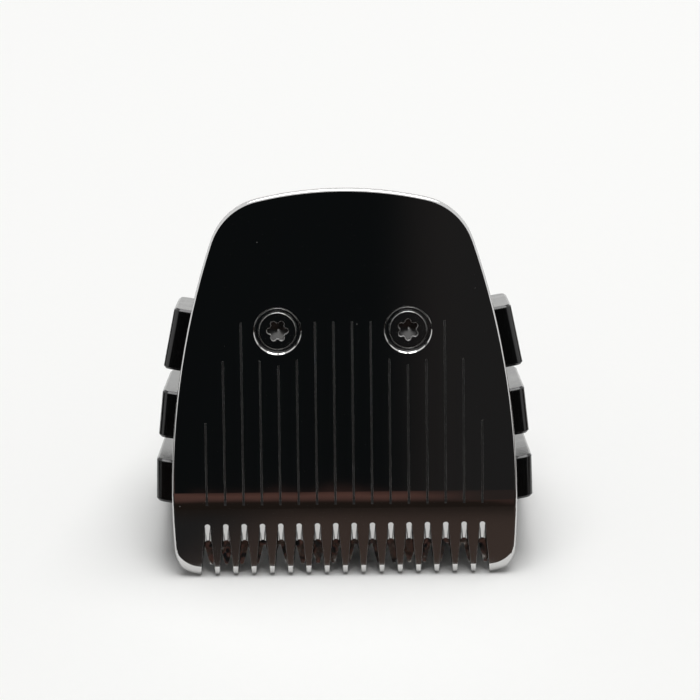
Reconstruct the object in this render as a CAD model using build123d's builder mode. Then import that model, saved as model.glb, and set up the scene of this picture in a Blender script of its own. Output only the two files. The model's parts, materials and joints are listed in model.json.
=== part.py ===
from build123d import *
import os
from math import acos, atan2, cos, degrees, hypot, pi, radians, sin, sqrt, tan

# Click-on trimmer head: toothed guard plate, sliding cutter, drive carrier, springs and grip housing

# Pose: the head stands on its tooth tips and on the rear edge of the housing
lean = 18.0  # degrees the plate leans back

# Guard plate outline
blade_width = 35.7
blade_height = 40.45
blade_thickness = 1.2
widest_height = 8.3  # height above the tips where the plate is widest
side_radius = 84.0
crown_radius = 38.5
shoulder_radius = 6.5
corner_radius = 3.2
rim_round = 0.3

# Ground front of the tooth zone
bevel_start = 8.2
bevel_angle = 4.0
bend_radius = 25.0
nose_radius = 1.2
nose_corner_radius = 4.2

# Guard teeth
tooth_pitch = 1.9
slot_count = 16
slot_root_height = 5.75
slot_root_width = 0.58
slot_tip_width = 1.44
slot_mouth_width = 1.64
slot_root_draft = 0.27  # each slot wall leans in this much through the plate
slot_tip_draft = 0.1
slot_flare_height = 0.75
slot_break_height = 3.75  # height where the slot floor comes through the back
slot_floor_lead = 0.15
slot_floor_radius = 0.6
slot_floor_sag = 0.05

# Etched guide lines, one over each slot
line_width = 0.2
line_depth = 0.07
line_foot_height = 7.8
line_top_height = 26.8
outer_line_top = 16.4
second_line_top = 22.8
screw_ring_radius = 3.6  # the lines stop at a ring round each screw

# Screws and their seats
screw_spacing = 13.4
screw_height = 25.9
screw_head_diameter = 4.0
screw_head_thickness = 0.7
screw_head_chamfer = 0.12
screw_shank_diameter = 2.2
screw_length = 6.5
screw_fit = 0.02  # radial clearance of the shank in its pilot hole
lobe_circle = 1.62
lobe_diameter = 0.62
lobe_core_diameter = 1.66
lobe_count = 6
lobe_turns = (60.0, 90.0)  # degrees at which a lobe points, left and right screw
recess_depth = 0.65  # down to the point of its hollow bottom
recess_point_angle = 150.0
seat_gap = 0.3  # radial gap round each screw head
seat_depth = 0.75
seat_chamfer = 0.16
shank_hole_gap = 0.15

# Cutter
running_gap = 0.05  # film between guard and cutter
cutter_thickness = 0.8
cutter_teeth = 19
cutter_setback = 1.3  # cutter tips stay this far behind the guard tips
cutter_root_height = 3.3
cutter_rear_height = 9.9
cutter_tip_width = 0.32
cutter_root_gap = 0.2
cutter_offset = 0.32  # sideways place of the cutter at rest
cutter_stroke = 2.4

# Drive carrier
carrier_length = 26.4
carrier_foot = 6.2
carrier_top = 9.5
carrier_thickness = 1.6
stake_diameter = 1.6
stake_spacing = 16.0
stake_height = 7.8
stake_recess = 0.2  # stakes end this far below the sliding face
stake_fit = 0.03
fork_width = 5.6
fork_front = 6.5
fork_low = 15.6
fork_high = 21.8
fork_wall = 1.2
arm_front = 2.6
arm_bend_height = 13.0
arm_thickness = 2.2
drive_pin_diameter = 2.5
drive_pin_gap = 0.1
drive_slot_spare = 0.3

# Housing
body_inset = 0.4  # the side walls stay this far inside the plate edge
wall = 1.5
side_foot_height = 3.2
mouth_height = 31.0
chin_depth = 22.0
rear_slope = 1.0
rear_corner_radius = 3.0
chin_flat = 0.15  # the chin is dressed off this much where it meets the floor
bulkhead_foot = 24.0
bulkhead_thickness = 1.5
window_width = 8.4
window_front = 5.6
window_length = 9.6
window_round = 1.0
boss_diameter = 4.6
boss_length = 9.0
rail_gap = 0.1  # play of the cutter below its guide rail
rail_height = 1.5
rail_depth = 1.8
rail_inner = 4.8
bay_gap = 0.4  # room beside the cutter at the ends of its stroke
tongue_width = 7.6
tongue_thickness = 1.5
tongue_top = 36.5
hook_height = 1.5
hook_depth = 1.4
hook_lead = 0.6
latch_width = 7.0
latch_height = 2.0
latch_rim = 1.2  # wall left between the latch window and the mouth

# Grip ribs on each side of the housing
rib_feet = (8.05, 14.8, 21.95)
rib_heights = (4.5, 4.85, 6.25)
rib_front = 1.5
rib_reaches = (1.73, 1.63, 1.87)  # each rib stands this far outside the plate edge
rib_depths = (19.2, 15.0, 10.3)  # the upper ribs end sooner
rib_root_inset = 1.95
rib_slant = 10.0  # the ends of the ribs rise outwards
rib_nose_radius = 0.9
rib_chamfer = 0.22

# Torsion springs
wire_diameter = 0.6
wire_sides = 6  # the thin wire is drawn with this many flats
coil_radius = 1.6
coil_pitch = 0.75
coil_depth = 12.5
coil_height = 14.0
coil_turns = 3
coil_place = 9.4  # sideways place of the leg that presses on the carrier
press_gap = 0.05
press_height = 7.9
rear_leg_height = 20.0
peg_diameter = 2.2
peg_inner = 8.6

overrun = 1.0  # cutting forms pass the faces that they open by this much

# Places worked out from the sizes above
lean_angle = radians(lean)
bevel_lean = radians(lean - bevel_angle)
bevel = radians(bevel_angle)
nose_height = bevel_start - (bevel_start / cos(bevel) - nose_radius) * cos(bevel) + nose_radius * sin(bevel)
nose_depth = (bevel_start / cos(bevel) - nose_radius) * sin(bevel) + nose_radius * cos(bevel)
tip_height = nose_height - sqrt(nose_radius**2 - (nose_depth - blade_thickness) ** 2)


def floor_height(depth):
    """Height along the plate at which the floor lies, at a depth behind its front face."""
    return tip_height + (depth - blade_thickness) * tan(lean_angle)


chin_height = floor_height(chin_depth) - chin_flat


def rear_depth(height, inset=0.0):
    """Depth of the sloping rear wall at a height, moved inwards by an inset."""
    slope = radians(rear_slope)
    return chin_depth + (height - chin_height) * tan(slope) - inset / cos(slope)


front_reach = nose_height * sin(lean_angle) + nose_depth * cos(lean_angle) - nose_radius
rear_reach = mouth_height * sin(lean_angle) + rear_depth(mouth_height) * cos(lean_angle)
tip_drop = blade_thickness * sin(lean_angle) - tip_height * cos(lean_angle)

blade = Plane(
    origin=(0, -(front_reach + rear_reach) / 2, tip_drop),
    x_dir=(1, 0, 0),
    z_dir=(0, -cos(lean_angle), sin(lean_angle)),
)
bevel_face = Plane(
    origin=blade.from_local_coords((0, bevel_start, 0)),
    x_dir=(1, 0, 0),
    z_dir=(0, -cos(bevel_lean), sin(bevel_lean)),
)
profile = Plane(origin=blade.origin, x_dir=-blade.z_dir, z_dir=(1, 0, 0))  # depth, height
level = Plane(origin=blade.origin, x_dir=(1, 0, 0), z_dir=blade.y_dir)  # sideways, depth
outward = Axis(blade.origin, blade.z_dir)

cutter_front = blade_thickness + running_gap
cutter_back = cutter_front + cutter_thickness
carrier_back = cutter_back + carrier_thickness
cutter_pitch = tooth_pitch * (slot_count - 1) / (cutter_teeth - 1)
slot_places = [(number - (slot_count - 1) / 2) * tooth_pitch for number in range(slot_count)]
screw_places = [(-screw_spacing / 2, screw_height), (screw_spacing / 2, screw_height)]


def blade_outline(sketch, margin):
    """Shield outline of the plate, moved outwards by a margin."""
    with Locations((0, blade_height - crown_radius)):
        Circle(crown_radius + margin)
    for side in (-1, 1):
        with Locations((side * (blade_width / 2 - side_radius), widest_height)):
            Circle(side_radius + margin, mode=Mode.INTERSECT)
    with Locations((0, -margin)):
        Rectangle(
            blade_width + 2 * margin,
            blade_height + 2 * margin,
            align=(Align.CENTER, Align.MIN),
            mode=Mode.INTERSECT,
        )
    corners = sketch.vertices().group_by(Axis.Y)
    fillet(corners[-1], shoulder_radius + margin)
    fillet(sketch.vertices().group_by(Axis.Y)[0], corner_radius + margin)


# Form that rounds the tooth tips and the lower corners of the guard
with BuildPart() as tip_form:
    with BuildSketch(bevel_face) as tip_outline:
        with Locations((0, -bevel_start / cos(bevel))):
            Rectangle(
                blade_width + 2 * nose_radius,
                2 * blade_height,
                align=(Align.CENTER, Align.MIN),
            )
        fillet(tip_outline.vertices().group_by(Axis.Y)[0], nose_corner_radius)
    extrude(amount=-3 * nose_radius)
    tip_face = tip_form.faces().sort_by(Axis(bevel_face.origin, bevel_face.z_dir))[-1]
    fillet(tip_face.edges().sort_by(Axis.Z)[0], nose_radius)

# Form of one ground slot: leaning walls, a round root and a hollow floor that slopes to the back
slot_top = (slot_root_height - slot_root_width / 2 - bevel_start) / cos(bevel)
slot_flare = (slot_flare_height - bevel_start) / cos(bevel)
slot_mouth = -bevel_start / cos(bevel)
slot_end = slot_mouth - overrun
floor_top = slot_root_height + slot_floor_lead
floor_front = (bevel_start - floor_top) * tan(bevel)
floor_drop = floor_top - slot_break_height
floor_run = blade_thickness - floor_front
floor_length = hypot(floor_run, floor_drop)


def slot_section(root_draft, tip_draft):
    """Outline of a slot, narrowed on each side at its root and at its tip."""
    root_half = slot_root_width / 2 - root_draft
    tip_half = slot_tip_width / 2 - tip_draft
    mouth_half = slot_mouth_width / 2 - tip_draft
    Polygon(
        (-root_half, slot_top),
        (root_half, slot_top),
        (tip_half, slot_flare),
        (mouth_half, slot_mouth),
        (mouth_half, slot_end),
        (-mouth_half, slot_end),
        (-mouth_half, slot_mouth),
        (-tip_half, slot_flare),
        align=None,
    )


floor_line = Plane(
    origin=profile.from_local_coords((floor_front, floor_top, 0)),
    x_dir=(1, 0, 0),
    z_dir=profile.x_dir * floor_run - profile.y_dir * floor_drop,
)

with BuildPart() as floor_form:
    with BuildSketch(floor_line):
        Rectangle(2 * tooth_pitch, 2 * overrun, align=(Align.CENTER, Align.MAX))
        with Locations((0, slot_floor_radius - slot_floor_sag)):
            Circle(slot_floor_radius, mode=Mode.SUBTRACT)
    extrude(amount=floor_length + overrun, both=True)

with BuildPart() as slot_form:
    with BuildSketch(bevel_face):
        slot_section(0, 0)
    with BuildSketch(bevel_face.offset(-blade_thickness)):
        slot_section(slot_root_draft, slot_tip_draft)
    loft(ruled=True)
    with BuildSketch(bevel_face):
        with Locations((0, slot_top)):
            Circle(slot_root_width / 2)
    extrude(amount=-slot_root_width)
    add(floor_form.part, mode=Mode.SUBTRACT)

bend_reach = bend_radius * tan(bevel / 2)
bend_foot = (bend_reach * sin(bevel), bevel_start - bend_reach * cos(bevel))

with BuildPart() as guard_blade:
    with BuildSketch(profile):
        with BuildLine():
            TangentArc((0, bevel_start + bend_reach), bend_foot, tangent=(0, -1))
            Polyline(
                bend_foot,
                ((bevel_start + overrun) * tan(bevel), -overrun),
                (blade_thickness, -overrun),
                (blade_thickness, blade_height + overrun),
                (0, blade_height + overrun),
                (0, bevel_start + bend_reach),
            )
        make_face()
    extrude(amount=blade_width, both=True)
    with BuildSketch(blade.offset(overrun)) as plate_outline:
        blade_outline(plate_outline, 0)
    extrude(amount=-(blade_thickness + 2 * overrun), mode=Mode.INTERSECT)
    fillet(guard_blade.faces().sort_by(outward)[-1].edges().sort_by(Axis.Z)[-1], rim_round)
    add(tip_form.part, mode=Mode.INTERSECT)
    with BuildSketch(blade):
        with Locations(*screw_places):
            Circle(screw_head_diameter / 2 + seat_gap)
    extrude(amount=-seat_depth, mode=Mode.SUBTRACT)
    seat_rims = guard_blade.faces().sort_by(outward)[-1].inner_wires().edges()
    chamfer(seat_rims, seat_chamfer)
    with BuildSketch(blade):
        with Locations(*screw_places):
            Circle(screw_shank_diameter / 2 + shank_hole_gap)
    extrude(amount=-blade_thickness, mode=Mode.SUBTRACT)
    with Locations(*[(place, 0, 0) for place in slot_places]):
        add(slot_form.part, mode=Mode.SUBTRACT)
    with BuildSketch(blade):
        tops = [line_top_height] * slot_count
        tops[0] = tops[-1] = outer_line_top
        tops[1] = tops[-2] = second_line_top
        for place, top in zip(slot_places, tops):
            with Locations((place, line_foot_height)):
                Rectangle(line_width, top - line_foot_height, align=(Align.CENTER, Align.MIN))
        with Locations(*screw_places):
            Circle(screw_ring_radius, mode=Mode.SUBTRACT)
    extrude(amount=-line_depth, mode=Mode.SUBTRACT)

head_top = seat_depth - screw_head_thickness


def screw_recess(turn):
    """Six-lobe recess at the screw height, with a drilled bottom and one lobe pointing at an angle."""
    with BuildPart() as form:
        with BuildSketch(blade.offset(-head_top)):
            with Locations((0, screw_height)):
                Circle(lobe_core_diameter / 2)
                with PolarLocations(lobe_circle / 2, lobe_count, start_angle=turn):
                    Circle(lobe_diameter / 2)
        extrude(amount=-recess_depth)
        with BuildSketch(profile):
            Polygon(
                (head_top, screw_height),
                (head_top, screw_height + recess_depth * tan(radians(recess_point_angle / 2))),
                (head_top + recess_depth, screw_height),
                align=None,
            )
        screw_axis = Axis(blade.from_local_coords((0, screw_height, 0)), blade.z_dir)
        revolve(axis=screw_axis, mode=Mode.INTERSECT)
    return form.part


with BuildPart() as blade_screws:
    with BuildSketch(blade.offset(-head_top)):
        with Locations(*screw_places):
            Circle(screw_head_diameter / 2)
    extrude(amount=-screw_head_thickness)
    chamfer(blade_screws.faces().group_by(outward)[-1].edges(), screw_head_chamfer)
    with BuildSketch(blade.offset(-seat_depth)):
        with Locations(*screw_places):
            Circle(screw_shank_diameter / 2)
    extrude(amount=-screw_length)
    for (place, height), turn in zip(screw_places, lobe_turns):
        with Locations((place, 0, 0)):
            add(screw_recess(turn), mode=Mode.SUBTRACT)

# Cutter comb
cutter_places = [(number - (cutter_teeth - 1) / 2) * cutter_pitch for number in range(cutter_teeth)]
cutter_half = cutter_places[-1] + (cutter_pitch - cutter_root_gap) / 2
gap_places = [place + cutter_pitch / 2 for place in cutter_places]

with BuildPart() as cutter_blade:
    with BuildSketch(blade.offset(-cutter_front)):
        with Locations((cutter_offset, cutter_setback)):
            Rectangle(
                2 * cutter_half,
                cutter_rear_height - cutter_setback,
                align=(Align.CENTER, Align.MIN),
            )
        tip_half = (cutter_pitch - cutter_tip_width) / 2
        for place in [-gap_places[-1]] + gap_places:
            Polygon(
                (cutter_offset + place - cutter_root_gap / 2, cutter_root_height),
                (cutter_offset + place + cutter_root_gap / 2, cutter_root_height),
                (cutter_offset + place + tip_half, cutter_setback),
                (cutter_offset + place - tip_half, cutter_setback),
                align=None,
                mode=Mode.SUBTRACT,
            )
    extrude(amount=-cutter_thickness)
    stake_places = [(cutter_offset + side * stake_spacing / 2, stake_height) for side in (-1, 1)]
    with BuildSketch(blade.offset(-cutter_front)):
        with Locations(*stake_places):
            Circle(stake_diameter / 2 + stake_fit)
    extrude(amount=-cutter_thickness, mode=Mode.SUBTRACT)

# Drive carrier: bar on the cutter, arm and fork for the eccentric pin
drive_slot_length = drive_pin_diameter + cutter_stroke + drive_slot_spare
fork_back = fork_front + 2 * fork_wall + drive_slot_length

with BuildPart() as cutter_carrier:
    with BuildSketch(blade.offset(-cutter_back)):
        with Locations((cutter_offset, carrier_foot)):
            RectangleRounded(
                carrier_length,
                carrier_top - carrier_foot,
                carrier_thickness / 2,
                align=(Align.CENTER, Align.MIN),
            )
    extrude(amount=-carrier_thickness)
    with BuildSketch(profile.offset(cutter_offset)):
        Polygon(
            (cutter_back, carrier_foot),
            (cutter_back, carrier_top),
            (arm_front, carrier_top),
            (arm_front, arm_bend_height),
            (fork_front, fork_low),
            (fork_front, fork_high),
            (fork_back, fork_high),
            (fork_back, fork_low),
            (fork_front + arm_thickness, fork_low - arm_thickness / 2),
            (arm_front + arm_thickness, arm_bend_height - arm_thickness / 2),
            (carrier_back, carrier_top),
            (carrier_back, carrier_foot),
            align=None,
        )
    extrude(amount=fork_width / 2, both=True)
    with BuildSketch(level.offset(fork_high)):
        with Locations((cutter_offset, (fork_front + fork_back) / 2)):
            SlotOverall(
                drive_slot_length,
                drive_pin_diameter + drive_pin_gap,
                rotation=90,
            )
    extrude(amount=-(fork_high - fork_low + arm_thickness), mode=Mode.SUBTRACT)
    with BuildSketch(blade.offset(-cutter_back)):
        with Locations(*stake_places):
            Circle(stake_diameter / 2)
    extrude(amount=cutter_thickness - stake_recess)


def plate_half(height):
    """Half width of the plate at a height."""
    return blade_width / 2 - side_radius + sqrt(side_radius**2 - (height - widest_height) ** 2)


def wall_half(height, inset):
    """Half width of the housing at a height: flat sides just inside the plate edge, moved in by an inset."""
    rise = (height - side_foot_height) / (mouth_height - side_foot_height)
    return blade_width / 2 - inset - rise * (blade_width / 2 - plate_half(mouth_height))


def channel(inset, corner, points):
    """Three-sided channel between the flat side walls and the sloping rear wall."""
    low = side_foot_height - overrun
    high = mouth_height + overrun
    with BuildPart() as form:
        with BuildSketch(blade.offset(overrun)):
            Polygon(
                (-wall_half(low, inset), low),
                (wall_half(low, inset), low),
                (wall_half(high, inset), high),
                (-wall_half(high, inset), high),
                align=None,
            )
        extrude(amount=-2 * (chin_depth + overrun))
        with BuildSketch(profile):
            Polygon(*points, align=None)
        extrude(amount=blade_width, both=True, mode=Mode.INTERSECT)
        rear = form.faces().sort_by(outward)[0]
        fillet(rear.edges().filter_by(Axis.X, reverse=True), corner)
    return form.part


body_form = channel(
    body_inset,
    rear_corner_radius,
    [
        (blade_thickness, side_foot_height),
        (blade_thickness, mouth_height),
        (rear_depth(mouth_height), mouth_height),
        (rear_depth(chin_height), chin_height),
    ],
)
bulkhead_top = bulkhead_foot + bulkhead_thickness
chamber_low = side_foot_height - overrun
hair_chamber = channel(
    body_inset + wall,
    rear_corner_radius - wall,
    [
        (blade_thickness - overrun, chamber_low),
        (blade_thickness - overrun, bulkhead_foot),
        (rear_depth(bulkhead_foot, wall), bulkhead_foot),
        (rear_depth(chamber_low, wall), chamber_low),
    ],
)
socket_high = mouth_height + overrun
handle_socket = channel(
    body_inset + wall,
    rear_corner_radius - wall,
    [
        (blade_thickness - overrun, bulkhead_top),
        (blade_thickness - overrun, socket_high),
        (rear_depth(socket_high, wall), socket_high),
        (rear_depth(bulkhead_top, wall), bulkhead_top),
    ],
)


def grip_rib(foot, height, reach, depth):
    """One grip rib of the right side: flat ends, round outer corners and chamfered edges."""
    top = foot + height
    drop = (reach + rib_root_inset) * tan(radians(rib_slant))
    with BuildPart() as form:
        with BuildSketch(blade.offset(-rib_front)):
            Polygon(
                (plate_half(foot) - rib_root_inset, foot - drop),
                (plate_half(foot) + reach, foot),
                (plate_half(top) + reach, top),
                (plate_half(top) - rib_root_inset, top - drop),
                align=None,
            )
        extrude(amount=-depth)
        faces = form.faces().sort_by(outward)
        outer_corners = [end.edges().sort_by(Axis.X)[-1] for end in (faces[0], faces[-1])]
        fillet(outer_corners, rib_nose_radius)
        side = form.faces().sort_by(Axis.X)[-1]
        chamfer(side.edges().filter_by(outward), rib_chamfer)
    return form.part


with BuildPart() as grip_ribs:
    for foot, height, reach, depth in zip(rib_feet, rib_heights, rib_reaches, rib_depths):
        add(grip_rib(foot, height, reach, depth))
    mirror(about=Plane.YZ)

with BuildPart() as housing:
    add(body_form)
    add(hair_chamber, mode=Mode.SUBTRACT)
    add(handle_socket, mode=Mode.SUBTRACT)
    add(grip_ribs.part)
    with BuildSketch(blade.offset(-blade_thickness)):
        with Locations(*screw_places):
            Circle(boss_diameter / 2)
    extrude(amount=-boss_length)
    with BuildSketch(level.offset(bulkhead_foot)):
        with Locations((0, window_front)):
            RectangleRounded(
                window_width,
                window_length,
                window_round,
                align=(Align.CENTER, Align.MIN),
            )
    extrude(amount=bulkhead_thickness, mode=Mode.SUBTRACT)
    tongue_back = blade_thickness + tongue_thickness
    with BuildSketch(profile):
        Polygon(
            (blade_thickness, bulkhead_foot),
            (blade_thickness, tongue_top),
            (tongue_back + hook_depth - hook_lead, tongue_top),
            (tongue_back + hook_depth, tongue_top - hook_lead),
            (tongue_back + hook_depth, tongue_top - hook_height),
            (tongue_back, tongue_top - hook_height),
            (tongue_back, bulkhead_foot),
            align=None,
        )
    extrude(amount=tongue_width / 2, both=True)
    rail_foot = cutter_rear_height + rail_gap
    rail_outer = wall_half(rail_foot + rail_height, body_inset + wall / 2)
    with BuildSketch(blade.offset(-blade_thickness)):
        for side in (-1, 1):
            with Locations((side * (rail_inner + rail_outer) / 2, rail_foot)):
                Rectangle(rail_outer - rail_inner, rail_height, align=(Align.CENTER, Align.MIN))
    extrude(amount=-rail_depth)
    with BuildSketch(blade.offset(-blade_thickness)):
        bay_half = carrier_length / 2 + cutter_stroke / 2
        bay_half = max(bay_half, cutter_half + cutter_stroke / 2) + bay_gap
        with Locations((0, rail_foot)):
            Rectangle(2 * bay_half, cutter_rear_height + overrun, align=(Align.CENTER, Align.MAX))
    extrude(amount=-(carrier_back - blade_thickness + bay_gap), mode=Mode.SUBTRACT)
    peg_outer = wall_half(coil_height, body_inset + wall / 2)
    for side in (-1, 1):
        with BuildSketch(profile.offset(side * peg_inner)):
            with Locations((coil_depth, coil_height)):
                Circle(peg_diameter / 2)
        extrude(amount=side * (peg_outer - peg_inner))
    with BuildSketch(blade.offset(-blade_thickness)):
        with Locations(*screw_places):
            Circle(screw_shank_diameter / 2 + screw_fit)
    extrude(amount=-(screw_length - (blade_thickness - seat_depth) + overrun), mode=Mode.SUBTRACT)
    latch_low = mouth_height - latch_rim - latch_height
    with BuildSketch(blade.offset(-rear_depth(latch_low, wall) + overrun)):
        with Locations((0, latch_low)):
            Rectangle(latch_width, latch_height, align=(Align.CENTER, Align.MIN))
    extrude(amount=-(wall + 2 * overrun), mode=Mode.SUBTRACT)
    split(bisect_by=Plane.XY, keep=Keep.TOP)

# Torsion springs on their pegs, one leg on the carrier and one on the rear wall
press_depth = carrier_back + press_gap + wire_diameter / 2
rest_depth = rear_depth(rear_leg_height, wall + press_gap + wire_diameter / 2)
press_run = hypot(press_depth - coil_depth, press_height - coil_height)
rest_run = hypot(rest_depth - coil_depth, rear_leg_height - coil_height)
press_angle = atan2(press_height - coil_height, press_depth - coil_depth) + acos(coil_radius / press_run)
rest_angle = atan2(rear_leg_height - coil_height, rest_depth - coil_depth) - acos(coil_radius / rest_run)
coil_length = coil_pitch * (coil_turns + ((rest_angle - press_angle) / (2 * pi)) % 1)
coil_slope = hypot(1, coil_pitch / (2 * pi * coil_radius))
press_leg = sqrt(press_run**2 - coil_radius**2) * coil_slope
rest_leg = sqrt(rest_run**2 - coil_radius**2) * coil_slope

with BuildPart() as pressure_springs:
    for side in (-1, 1):
        coil_start = Plane(
            origin=profile.from_local_coords((coil_depth, coil_height, side * coil_place)),
            x_dir=profile.x_dir * cos(press_angle) + profile.y_dir * sin(press_angle),
            z_dir=(side, 0, 0),
        )
        coil = coil_start * Helix(coil_pitch, coil_length, coil_radius, lefthand=side < 0, mode=Mode.PRIVATE)
        with BuildLine() as wire:
            Line(coil @ 0 - (coil % 0) * press_leg, coil @ 0)
            add(coil)
            Line(coil @ 1, coil @ 1 + (coil % 1) * rest_leg)
        with BuildSketch(Plane(origin=wire.line @ 0, z_dir=wire.line % 0)):
            RegularPolygon(wire_diameter / 2, wire_sides)
        sweep(path=wire.line)

os.makedirs("parts", exist_ok=True)

guard_blade.part.label = "guard_blade"
export_step(guard_blade.part, "parts/guard_blade.step")

blade_screws.part.label = "blade_screws"
export_step(blade_screws.part, "parts/blade_screws.step")

cutter_blade.part.label = "cutter_blade"
export_step(cutter_blade.part, "parts/cutter_blade.step")

cutter_carrier.part.label = "cutter_carrier"
export_step(cutter_carrier.part, "parts/cutter_carrier.step")

housing.part.label = "housing"
export_step(housing.part, "parts/housing.step")

pressure_springs.part.label = "pressure_springs"
export_step(pressure_springs.part, "parts/pressure_springs.step")
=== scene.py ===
import json
from math import cos, radians, sin

import bmesh
import bpy
from mathutils import Matrix, Vector

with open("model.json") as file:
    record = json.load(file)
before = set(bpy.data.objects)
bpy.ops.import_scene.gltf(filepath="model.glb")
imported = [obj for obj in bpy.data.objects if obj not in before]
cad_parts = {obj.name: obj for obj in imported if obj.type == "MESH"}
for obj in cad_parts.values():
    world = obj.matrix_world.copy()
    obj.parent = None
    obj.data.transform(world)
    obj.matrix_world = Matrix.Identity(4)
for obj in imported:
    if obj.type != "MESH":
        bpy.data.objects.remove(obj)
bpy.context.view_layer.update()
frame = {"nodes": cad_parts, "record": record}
nodes = frame["nodes"]
mounts = {mount["name"]: mount for mount in frame["record"]["mounts"]}
scene = bpy.context.scene
scene.view_settings.view_transform = "Standard"
print("frame loaded:", ", ".join(sorted(nodes)))

# The plate leans back: these are the directions up along it and out of its front face
plateUp = Vector(mounts["handle_rim"]["axis"])
plateOut = Vector((0, -plateUp.z, plateUp.y))
guardPoints = [vertex.co for vertex in nodes["guard_blade"].data.vertices]
plateFront = max(point.dot(plateOut) for point in guardPoints)
plateFoot = min(point.dot(plateUp) for point in guardPoints)
mm = 0.001

# Edges: how finely their rounding is sampled, and how far a rounded normal has turned
# where wear starts and where it is full
bevelSamples = 6
wornSpan = (0.02, 0.12)


# Shader maths: a Flow is one socket, and arithmetic on it adds Math nodes to its recipe
class Flow:
    def __init__(self, recipe, socket):
        self.recipe = recipe
        self.socket = socket

    def other(self, name):  # another output of the same node
        return Flow(self.recipe, self.socket.node.outputs[name])

    def __add__(self, value):
        return self.recipe.maths("ADD", self, value)

    def __radd__(self, value):
        return self.recipe.maths("ADD", value, self)

    def __sub__(self, value):
        return self.recipe.maths("SUBTRACT", self, value)

    def __rsub__(self, value):
        return self.recipe.maths("SUBTRACT", value, self)

    def __mul__(self, value):
        return self.recipe.maths("MULTIPLY", self, value)

    def __truediv__(self, value):
        return self.recipe.maths("DIVIDE", self, value)

    def __gt__(self, value):
        return self.recipe.maths("GREATER_THAN", self, value)

    def __lt__(self, value):
        return self.recipe.maths("LESS_THAN", self, value)

    def __abs__(self):
        return self.recipe.maths("ABSOLUTE", self)


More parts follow.
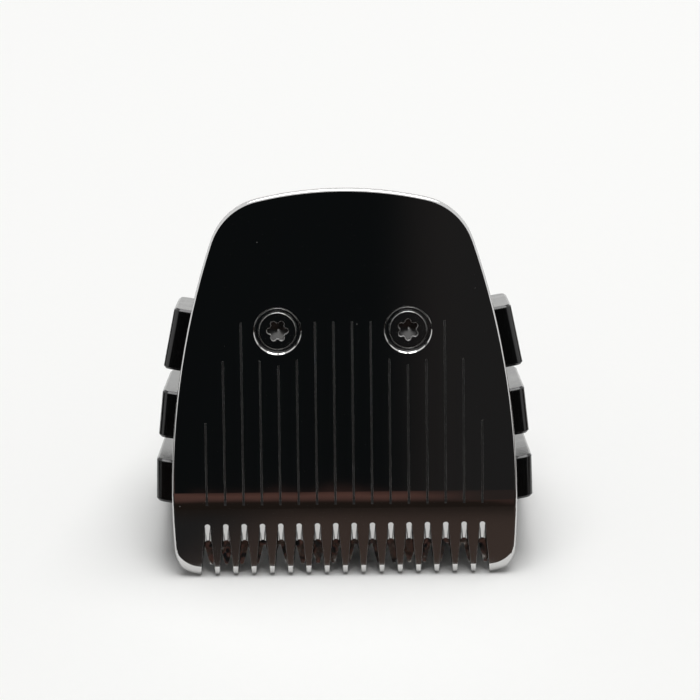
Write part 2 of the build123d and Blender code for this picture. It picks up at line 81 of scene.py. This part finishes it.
# One material or the world, built up node by node
class Recipe:
    def __init__(self, name, world=None):
        self.material = None if world else bpy.data.materials.new(name)
        owner = world or self.material
        owner.use_nodes = True
        self.tree = owner.node_tree
        self.tree.nodes.clear()

    # Any node: settings go on the node first, then the values or links of its sockets
    def add(self, kind, settings=None, sockets=None, out=0):
        node = self.tree.nodes.new(kind)
        for key, value in (settings or {}).items():
            if key == "stops":
                ramp = node.color_ramp
                while len(ramp.elements) < len(value):
                    ramp.elements.new(1)
                for element, (position, colour) in zip(ramp.elements, value):
                    element.position = position
                    element.color = (*colour, 1)
            else:
                setattr(node, key, value)
        for key, value in (sockets or {}).items():
            socket = node.inputs[key]
            if isinstance(value, Flow):
                self.tree.links.new(value.socket, socket)
            else:
                socket.default_value = (*value, 1) if socket.type == "RGBA" else value
        return Flow(self, node.outputs[out]) if node.outputs else None

    def maths(self, operation, *values):
        return self.add("ShaderNodeMath", {"operation": operation}, dict(enumerate(values)))

    def vectors(self, operation, first, second, out=0):
        settings = {"operation": operation}
        return self.add("ShaderNodeVectorMath", settings, {0: first, 1: second}, out)

    def coords(self):  # place on the object, in millimetres
        place = self.add("ShaderNodeTexCoord", out="Object")
        return self.add("ShaderNodeVectorMath", {"operation": "SCALE"}, {0: place, "Scale": 1 / mm})

    def along(self, place, direction):
        return self.vectors("DOT_PRODUCT", place, tuple(direction), out="Value")

    def length(self, place):
        return self.add("ShaderNodeVectorMath", {"operation": "LENGTH"}, {0: place}, out="Value")

    # Place on the leaning plate: sideways, up from the tooth tips, in from the front face
    def platePlace(self, place):
        sideways = self.along(place, (1, 0, 0))
        height = self.along(place, plateUp) - plateFoot / mm
        depth = plateFront / mm - self.along(place, plateOut)
        return sideways, height, depth

    def join(self, first, second, third):
        return self.add("ShaderNodeCombineXYZ", None, {0: first, 1: second, 2: third})

    def step(self, value, low, high):  # 0 below low, 1 above high, smooth between
        settings = {"interpolation_type": "SMOOTHSTEP"}
        sockets = {"Value": value, "From Min": low, "From Max": high}
        return self.add("ShaderNodeMapRange", settings, sockets)

    # Soft noise: the stretch says how often it changes in each direction
    def noise(self, place, stretch, detail=3, rough=0.55):
        scaled = self.vectors("MULTIPLY", place, stretch)
        sockets = {"Vector": scaled, "Scale": 1, "Detail": detail, "Roughness": rough}
        return self.add("ShaderNodeTexNoise", None, sockets)

    # Scattered dots: one in each cell of the given size, of which only a share shows
    def specks(self, place, cell, radius, share):
        sockets = {"Vector": place, "Scale": 1 / cell}
        near = self.add("ShaderNodeTexVoronoi", None, sockets, out="Distance")
        chance = self.along(near.other("Color"), (1, 0, 0))
        return (near < chance * radius / cell) * (chance > 1 - share)

    def blend(self, factor, first, second):  # colours
        sockets = {0: factor, 6: first, 7: second}
        return self.add("ShaderNodeMix", {"data_type": "RGBA"}, sockets, out=2)

    def rounded(self, radius):  # the normal, as if sharp edges were rounded
        return self.add("ShaderNodeBevel", {"samples": bevelSamples}, {"Radius": radius})

    def worn(self, radius):  # 1 along sharp edges, 0 on open faces
        flat = self.add("ShaderNodeNewGeometry", out="True Normal")
        agreement = self.vectors("DOT_PRODUCT", self.rounded(radius), flat, out="Value")
        return self.step(1 - agreement, *wornSpan)

    def seen(self):  # 1 where the camera or a reflection looks, 0 where the light is only gathered
        ray = self.add("ShaderNodeLightPath", out="Is Camera Ray")
        shown = self.maths("MAXIMUM", ray, ray.other("Is Glossy Ray"))
        return self.maths("MAXIMUM", shown, ray.other("Is Transmission Ray"))

    def matt(self, tone):
        sockets = {"Base Color": tone, "Roughness": 1.0, "Specular IOR Level": 0.0}
        return self.add("ShaderNodeBsdfPrincipled", None, sockets)

    # One shader, with another laid over it by a share where one is given
    def surface(self, values, bump=None, bumpHeight=0.0, rounding=0.0, over=None):
        turned = {}
        if rounding:
            turned = {"Normal": self.rounded(rounding)}
        if bump:
            sockets = {"Height": bump, "Strength": 1, "Distance": bumpHeight, **turned}
            turned = {"Normal": self.add("ShaderNodeBump", None, sockets)}
        shader = self.add("ShaderNodeBsdfPrincipled", None, {**values, **turned})
        if over:
            share, cover = over
            shader = self.add("ShaderNodeMixShader", None, {0: share, 1: shader, 2: cover})
        self.add("ShaderNodeOutputMaterial", None, {"Surface": shader})
        return self.material

    def glow(self, tone, kind="ShaderNodeEmission", end="ShaderNodeOutputMaterial", strength=1.0):
        shader = self.add(kind, None, {"Color": tone, "Strength": strength})
        self.add(end, None, {"Surface": shader})
        return self.material


# Guard plate: mirror polish with smudges and dust, frosted lines, grinding marks on the toothed edge,
# painted shade as a dark matt film on the slot walls, and a sheared rim with painted shade on its back.
# Lengths in the finishes are in millimetres
guardLook = {
    "polished": (0.6, 0.597, 0.592),
    "frosted": (0.05, 0.05, 0.049),
    "dust": (0.24, 0.235, 0.225),
    # painted shade: a near-black matt sheet laid over the slot walls, where the shade between the teeth
    # falls
    "oilFilmAndSlotShade": (0.012, 0.011, 0.01),
    "rim": (0.44, 0.438, 0.434),
    # painted shade: the back of the sheared rim is darkened, as well as made rougher
    "tornRimShade": (0.16, 0.158, 0.155),  # the back of the sheared rim
    "roughness": 0.028,
    "smudgeRoughness": 0.018,
    "hairRoughness": 0.008,
    "grindRoughness": 0.05,
    "frostRoughness": 0.42,
    "frostUneven": 0.12,
    "dustRoughness": 0.6,
    "rimRoughness": 0.14,
    "linePitch": 1.9,
    "lineHalf": 0.13,
    "lineFloor": (0.006, 0.02),
    "lineDeepest": 0.1,
    "lineFoot": 7.55,
    "lineTop": 27.0,
    "lineReach": 15.0,
    "grindTop": (7.6, 8.2),
    "slotTop": 5.9,
    "slotReach": 15.6,
    "wallTurn": (0.4, 0.7),  # sideways part of the normal of a slot wall
    "slotWallShade": 0.85,
    "rimFoot": 9.0,
    "rimFacing": (0.35, 0.6),
    "tornRimShadeDepth": (0.82, 0.98),
    "smudgeStretch": (0.16, 0.1, 0.2),
    "smudgeSpan": (0.5, 0.75),
    "hairStretch": (0.4, 18.0, 18.0),
    "grindStretch": (34.0, 0.7, 8.0),
    "frostStretch": (24.0, 9.0, 24.0),
    "frostLeast": 0.7,
    "frostVaries": 0.6,
    "dustGrains": (1.7, 0.045, 0.25),  # cell, radius and share
    "hairBump": 0.25,
    "frostBump": 6,
    "bumpHeight": 0.00035 * mm,
    "rounding": 0.02 * mm,
}


def guardSteel(look):
    recipe = Recipe("guardSteel")
    place = recipe.coords()
    sideways, height, depth = recipe.platePlace(place)
    flat = recipe.join(sideways, height, depth)
    across = recipe.maths("FRACT", sideways / look["linePitch"])
    frosted = recipe.step(depth, *look["lineFloor"]) * (depth < look["lineDeepest"])
    frosted = frosted * (abs(across - 0.5) * look["linePitch"] < look["lineHalf"])
    frosted = frosted * (height > look["lineFoot"]) * (height < look["lineTop"])
    frosted = frosted * (abs(sideways) < look["lineReach"])
    ground = 1 - recipe.step(height, *look["grindTop"])
    normal = recipe.add("ShaderNodeTexCoord", out="Normal")
    # Painted shade: the slot walls get a dark matt sheet over the steel
    oilFilmAndSlotShade = recipe.step(abs(recipe.along(normal, (1, 0, 0))), *look["wallTurn"])
    oilFilmAndSlotShade = oilFilmAndSlotShade * (height < look["slotTop"]) * (abs(sideways) < look["slotReach"])
    rim = 1 - recipe.step(abs(recipe.along(normal, plateOut)), *look["rimFacing"])
    rim = rim * (height > look["rimFoot"])
    # Painted shade on the rim's back half, which is also rougher
    tornRimShade = rim * recipe.step(depth, *look["tornRimShadeDepth"])
    smudge = recipe.step(recipe.noise(flat, look["smudgeStretch"], detail=4), *look["smudgeSpan"])
    hairline = recipe.noise(flat, look["hairStretch"], detail=2)
    grinding = recipe.noise(flat, look["grindStretch"], detail=2)
    frost = recipe.noise(flat, look["frostStretch"], detail=2)
    dust = recipe.specks(flat, *look["dustGrains"])
    roughness = look["roughness"] + smudge * look["smudgeRoughness"] + hairline * look["hairRoughness"]
    roughness = roughness + ground * grinding * look["grindRoughness"]
    roughness = roughness + frosted * (look["frostRoughness"] + frost * look["frostUneven"])
    roughness = roughness + dust * look["dustRoughness"] + (rim + tornRimShade) * look["rimRoughness"]
    etched = frosted * (look["frostLeast"] + frost * look["frostVaries"])
    tone = recipe.blend(etched, look["polished"], look["frosted"])
    tone = recipe.blend(tornRimShade, recipe.blend(rim, tone, look["rim"]), look["tornRimShade"])
    return recipe.surface(
        {
            "Base Color": recipe.blend(dust, tone, look["dust"]),
            "Metallic": 1 - dust,
            "Roughness": roughness,
        },
        bump=hairline * look["hairBump"] + ground * grinding + frosted * frost * look["frostBump"],
        bumpHeight=look["bumpHeight"],
        rounding=look["rounding"],
        over=(oilFilmAndSlotShade * look["slotWallShade"], recipe.matt(look["oilFilmAndSlotShade"])),
    )


# Screws: bright turned heads with fine rings, and a driven recess darkened with painted shade
screwLook = {
    "steel": (0.58, 0.576, 0.57),
    # painted shade: the inside of the driven recess is darkened
    "recess": (0.12, 0.119, 0.117),
    "roughness": 0.06,
    "cloudRoughness": 0.06,
    "recessRoughness": 0.16,
    "edgeRoughness": 0.4,
    "sideways": 6.7,  # of a screw's middle on the plate
    "height": 25.72,
    "recessRadius": 1.16,
    "recessDepth": (0.07, 0.14),
    "ringTurn": 90,  # radians of the ring wave in a millimetre
    "ringWaver": 3,
    "waverStretch": (2.0, 2.0, 2.0),
    "cloudStretch": (2.5, 2.5, 2.5),
    "pitStretch": (12.0, 12.0, 12.0),
    "pitBump": 4,
    "bumpHeight": 0.0001 * mm,
    "rounding": 0.065 * mm,
}


def screwSteel(look):
    recipe = Recipe("screwSteel")
    place = recipe.coords()
    sideways, height, depth = recipe.platePlace(place)
    outward = recipe.join(abs(sideways) - look["sideways"], height - look["height"], 0.0)
    radius = recipe.length(outward)
    # Painted shade in the recess, left off its worn edges
    recess = recipe.step(depth, *look["recessDepth"]) * (radius < look["recessRadius"])
    waver = recipe.noise(place, look["waverStretch"]) * look["ringWaver"]
    rings = recipe.maths("SINE", radius * look["ringTurn"] + waver)
    cloud = recipe.noise(place, look["cloudStretch"])
    pits = recipe.noise(place, look["pitStretch"])
    edge = recipe.worn(look["rounding"])
    roughness = look["roughness"] + cloud * look["cloudRoughness"] + recess * look["recessRoughness"]
    return recipe.surface(
        {
            "Base Color": recipe.blend(recess * (1 - edge), look["steel"], look["recess"]),
            "Metallic": 1.0,
            "Roughness": roughness + edge * look["edgeRoughness"],
        },
        bump=rings * (1 - recess) + recess * pits * look["pitBump"],
        bumpHeight=look["bumpHeight"],
        rounding=look["rounding"],
    )


# Cutter: ground steel, a little wavy, with a thin oil film
cutterLook = {
    "steel": (0.58, 0.57, 0.56),
    "oilFilmAndSlotShade": (0.44, 0.41, 0.375),
    "roughness": 0.06,
    "grainRoughness": 0.06,
    "filmRoughness": 0.05,
    "grainStretch": (1.2, 30.0, 30.0),
    "filmStretch": (0.5, 0.35, 0.5),
    "filmSpan": (0.42, 0.62),
    "waveStretch": (0.9, 0.6, 0.6),
    "grainBump": 0.004,
    "waviness": 0.2 * mm,
    "rounding": 0.03 * mm,
}


def cutterSteel(look):
    recipe = Recipe("cutterSteel")
    place = recipe.coords()
    flat = recipe.join(*recipe.platePlace(place))
    grain = recipe.noise(flat, look["grainStretch"], detail=2)
    film = recipe.step(recipe.noise(flat, look["filmStretch"]), *look["filmSpan"])
    waves = recipe.noise(flat, look["waveStretch"], detail=1)
    roughness = look["roughness"] + grain * look["grainRoughness"]
    return recipe.surface(
        {
            "Base Color": recipe.blend(film, look["steel"], look["oilFilmAndSlotShade"]),
            "Metallic": 1.0,
            "Roughness": roughness + film * look["filmRoughness"],
        },
        bump=waves + grain * look["grainBump"],
        bumpHeight=look["waviness"],
        rounding=look["rounding"],
    )


# Housing: semi-gloss black moulding with a fine spark texture, rubbed smoother in places
housingLook = {
    "black": (0.0024, 0.0026, 0.0026),
    "rubbed": (0.0046, 0.0048, 0.0049),
    "scuffed": (0.012, 0.012, 0.0122),
    "dust": (0.3, 0.3, 0.29),
    "roughness": 0.11,
    "sparkRoughness": 0.07,
    "flowRoughness": 0.05,
    "rubbedSmoother": 0.05,
    "dustRoughness": 0.5,
    "rubbedStretch": (0.3, 0.3, 0.3),
    "rubbedSpan": (0.48, 0.7),
    "sparkStretch": (13.0, 13.0, 13.0),
    "flowStretch": (0.5, 0.12, 2.2),
    "scuffSpan": (0.42, 0.6),
    "dustGrains": (1.9, 0.07, 0.25),  # cell, radius and share
    "dustBump": 2,
    "bumpHeight": 0.0022 * mm,
    "rounding": 0.1 * mm,
}


def housingPlastic(look):
    recipe = Recipe("housingPlastic")
    place = recipe.coords()
    rubbed = recipe.step(recipe.noise(place, look["rubbedStretch"], detail=4), *look["rubbedSpan"])
    spark = recipe.noise(place, look["sparkStretch"], detail=4, rough=0.65)
    flow = recipe.noise(place, look["flowStretch"], detail=2)
    dust = recipe.specks(place, *look["dustGrains"])
    edge = recipe.worn(look["rounding"]) * recipe.step(spark, *look["scuffSpan"])
    tone = recipe.blend(rubbed, look["black"], look["rubbed"])
    tone = recipe.blend(edge, tone, look["scuffed"])
    roughness = look["roughness"] + spark * look["sparkRoughness"] + flow * look["flowRoughness"]
    return recipe.surface(
        {
            "Base Color": recipe.blend(dust, tone, look["dust"]),
            "Roughness": roughness - rubbed * look["rubbedSmoother"] + dust * look["dustRoughness"],
        },
        bump=spark + dust * look["dustBump"],
        bumpHeight=look["bumpHeight"],
        rounding=look["rounding"],
    )


# Carrier: dark low-friction moulding, matt where the tool was blasted
carrierLook = {
    "dark": (0.018, 0.018, 0.019),
    "worn": (0.034, 0.034, 0.035),
    "roughness": 0.38,
    "grainRoughness": 0.12,
    "wornSmoother": 0.1,
    "wornStretch": (0.45, 0.45, 0.45),
    "wornSpan": (0.45, 0.7),
    "grainStretch": (10.0, 10.0, 10.0),
    "bumpHeight": 0.003 * mm,
    "rounding": 0.1 * mm,
}


def carrierPlastic(look):
    recipe = Recipe("carrierPlastic")
    place = recipe.coords()
    worn = recipe.step(recipe.noise(place, look["wornStretch"]), *look["wornSpan"])
    grain = recipe.noise(place, look["grainStretch"])
    roughness = look["roughness"] + grain * look["grainRoughness"]
    return recipe.surface(
        {
            "Base Color": recipe.blend(worn, look["dark"], look["worn"]),
            "Roughness": roughness - worn * look["wornSmoother"],
        },
        bump=grain,
        bumpHeight=look["bumpHeight"],
        rounding=look["rounding"],
    )


# Springs: drawn wire with a faint straw tint
springLook = {
    "steel": (0.52, 0.515, 0.5),
    "straw": (0.46, 0.4, 0.31),
    "roughness": 0.2,
    "drawnRoughness": 0.12,
    "tintStretch": (0.8, 0.8, 0.8),
    "tintSpan": (0.45, 0.7),
    "drawnStretch": (9.0, 9.0, 9.0),
    "bumpHeight": 0.0012 * mm,
}


def springSteel(look):
    recipe = Recipe("springSteel")
    place = recipe.coords()
    tint = recipe.step(recipe.noise(place, look["tintStretch"]), *look["tintSpan"])
    drawn = recipe.noise(place, look["drawnStretch"], detail=2)
    return recipe.surface(
        {
            "Base Color": recipe.blend(tint, look["steel"], look["straw"]),
            "Metallic": 1.0,
            "Roughness": look["roughness"] + drawn * look["drawnRoughness"],
        },
        bump=drawn,
        bumpHeight=look["bumpHeight"],
    )


finishes = {
    "guard_blade": guardSteel(guardLook),
    "blade_screws": screwSteel(screwLook),
    "cutter_blade": cutterSteel(cutterLook),
    "cutter_carrier": carrierPlastic(carrierLook),
    "housing": housingPlastic(housingLook),
    "pressure_springs": springSteel(springLook),
}
for name, finish in finishes.items():
    for slot in nodes[name].material_slots:
        slot.material = finish
print("finishes:", ", ".join(finishes))


def stageMesh(name, shape, material):
    mesh = bpy.data.meshes.new(name)
    shape.to_mesh(mesh)
    shape.free()
    mesh.materials.append(material)
    made = bpy.data.objects.new(name, mesh)
    scene.collection.objects.link(made)
    return made


# Floor: one wide sheet of white paper, which far from the part is a plain backdrop
floorLook = {
    "half": 1.6,
    "paper": (0.945, 0.946, 0.934),
    "fibre": (0.935, 0.936, 0.924),
    "fibreStretch": (0.9, 0.9, 0.9),
    "roughness": 0.9,
    "farSpan": (180, 420),  # mm from the part, over which the paper turns into the backdrop
}


def makeFloor(look):
    recipe = Recipe("paper")
    place = recipe.coords()
    tone = recipe.blend(recipe.noise(place, look["fibreStretch"]), look["paper"], look["fibre"])
    far = recipe.step(recipe.length(place), *look["farSpan"])
    backdrop = recipe.add("ShaderNodeEmission", None, {"Color": look["paper"]})
    paper = recipe.surface(
        {"Base Color": tone, "Roughness": look["roughness"], "Specular IOR Level": 0.0},
        over=(far * recipe.seen(), backdrop),
    )
    shape = bmesh.new()
    bmesh.ops.create_grid(shape, x_segments=2, y_segments=2, size=look["half"])
    stageMesh("floor", shape, paper)


makeFloor(floorLook)

# Dark studio panels before the plate and beside it, seen only in reflections, in metres: an upright one
# with a warm band, one on the floor before it, and a strip on the floor at each side
roomLook = {
    "wall": -0.25,
    "half": 0.34,
    "top": 0.16,
    "near": -0.03,
    "lift": 0.0004,
    "rise": 0.05,  # height that the bands are stretched over
    "bands": (
        (0.26, (0.016, 0.012, 0.0095)),
        (0.44, (0.088, 0.046, 0.038)),
        (0.56, (0.11, 0.055, 0.044)),
        (0.76, (0.0052, 0.0062, 0.0066)),
    ),
    "waver": 0.34,  # how far the bands wander up and down
    "waverStretch": (48.0, 1.0, 20.0),
    "bandTop": 0.7,
    "coolFoot": 0.3,
    "coolBand": (0.03, 0.023, 0.021),
    "coolSpan": (0.008, 0.028),
    "right": (0.0185, 0.018, 0.018),
    "rightSpan": (0.004, 0.026),
    "wallFoot": 0.02,
    "paving": (0.062, 0.044, 0.037),
    "pavingLeft": (0.0195, 0.0195, 0.0198),
    "leftSpan": (-0.024, -0.006),
    "pavingFar": (0.018, 0.014, 0.0115),
    "farSpan": (-0.252, -0.212),
    "sideNear": 0.065,
    "sideBack": 0.12,
}


def makeRoom(look):
    recipe = Recipe("room")
    place = recipe.add("ShaderNodeTexCoord", out="Object")
    sideways = recipe.along(place, (1, 0, 0))
    rise = recipe.along(place, (0, 0, 1)) / look["rise"]
    wander = (recipe.noise(place, look["waverStretch"], detail=2) - 0.5) * look["waver"]
    bands = recipe.add("ShaderNodeValToRGB", {"stops": look["bands"]}, {"Fac": rise + wander})
    cool = recipe.step(sideways, *look["coolSpan"]) * (rise > look["coolFoot"])
    tone = recipe.blend(cool, bands, look["coolBand"])
    upperRight = recipe.step(sideways, *look["rightSpan"]) * (rise > look["bandTop"])
    tone = recipe.blend(upperRight, tone, look["right"])
    inward = recipe.step(sideways, *look["leftSpan"])
    paving = recipe.blend(inward, look["pavingLeft"], look["paving"])
    ahead = recipe.step(recipe.along(place, (0, 1, 0)), *look["farSpan"])
    paving = recipe.blend(ahead, look["pavingFar"], paving)
    tone = recipe.blend(rise > look["wallFoot"], paving, tone)
    half = look["half"]
    wall = look["wall"]
    near = look["near"]
    lift = look["lift"]
    back = look["sideBack"]
    shape = bmesh.new()
    corners = [(-half, near, lift), (half, near, lift), (half, wall, lift), (-half, wall, lift)]
    corners += [(half, wall, look["top"]), (-half, wall, look["top"])]
    points = [shape.verts.new(corner) for corner in corners]
    shape.faces.new(points[:4])
    shape.faces.new((points[3], points[2], points[4], points[5]))
    for side in (-1, 1):
        inner = side * look["sideNear"]
        outer = side * half
        strip = [(inner, near, lift), (outer, near, lift), (outer, back, lift), (inner, back, lift)]
        shape.faces.new([shape.verts.new(corner) for corner in strip])
    room = stageMesh("room", shape, recipe.glow(tone))
    room.visible_camera = False
    room.visible_diffuse = False
    room.visible_shadow = False
    room.visible_transmission = False


makeRoom(roomLook)

# Light: one large softbox overhead and a weak even dome, which reflections and the camera see as white
lightLook = {
    "white": (1, 1, 1),
    "dome": 0.2,
    "domeSeen": 1.0,
    "softPower": 12.0,
    "softSize": 0.9,
    "softPlace": (0.06, 0.15, 1.1),
}


def makeLight(look):
    world = bpy.data.worlds.new("dome")
    scene.world = world
    recipe = Recipe("dome", world)
    strength = look["dome"] + recipe.seen() * (look["domeSeen"] - look["dome"])
    recipe.glow(look["white"], "ShaderNodeBackground", "ShaderNodeOutputWorld", strength)
    lamp = bpy.data.lights.new("softbox", "AREA")
    lamp.energy = look["softPower"]
    lamp.size = look["softSize"]
    softbox = bpy.data.objects.new("softbox", lamp)
    softbox.location = look["softPlace"]
    softbox.rotation_euler = (-softbox.location).to_track_quat("-Z", "Y").to_euler()
    scene.collection.objects.link(softbox)


makeLight(lightLook)
print("stage and light made")

# Camera: where the photograph was taken from
cameraLook = {
    "lens": 142.9,
    "sensor": 36,
    "clipStart": 0.01,
    "clipEnd": 20,
    "distance": 0.285,
    "elevation": 26.2,
    "azimuth": -0.1,
    "roll": -0.6,
    "aimSideways": 0.72 * mm,  # the frame's middle falls on this place of the plate
    "aimHeight": 23.68 * mm,
}


def makeCamera(look):
    turn = radians(look["azimuth"])
    rise = radians(look["elevation"])
    roll = radians(look["roll"])
    back = Vector((sin(turn) * cos(rise), -cos(turn) * cos(rise), sin(rise)))
    level = Vector((cos(turn), sin(turn), 0))
    upright = back.cross(level)
    right = level * cos(roll) + upright * sin(roll)
    above = upright * cos(roll) - level * sin(roll)
    aim = plateOut * plateFront + plateUp * (plateFoot + look["aimHeight"])
    aim.x = look["aimSideways"]
    lens = bpy.data.cameras.new("camera")
    lens.lens = look["lens"]
    lens.sensor_width = look["sensor"]
    lens.clip_start = look["clipStart"]
    lens.clip_end = look["clipEnd"]
    camera = bpy.data.objects.new("camera", lens)
    turned = Matrix((right, above, back)).transposed().to_4x4()
    camera.matrix_world = Matrix.Translation(aim + back * look["distance"]) @ turned
    scene.collection.objects.link(camera)
    scene.camera = camera


makeCamera(cameraLook)
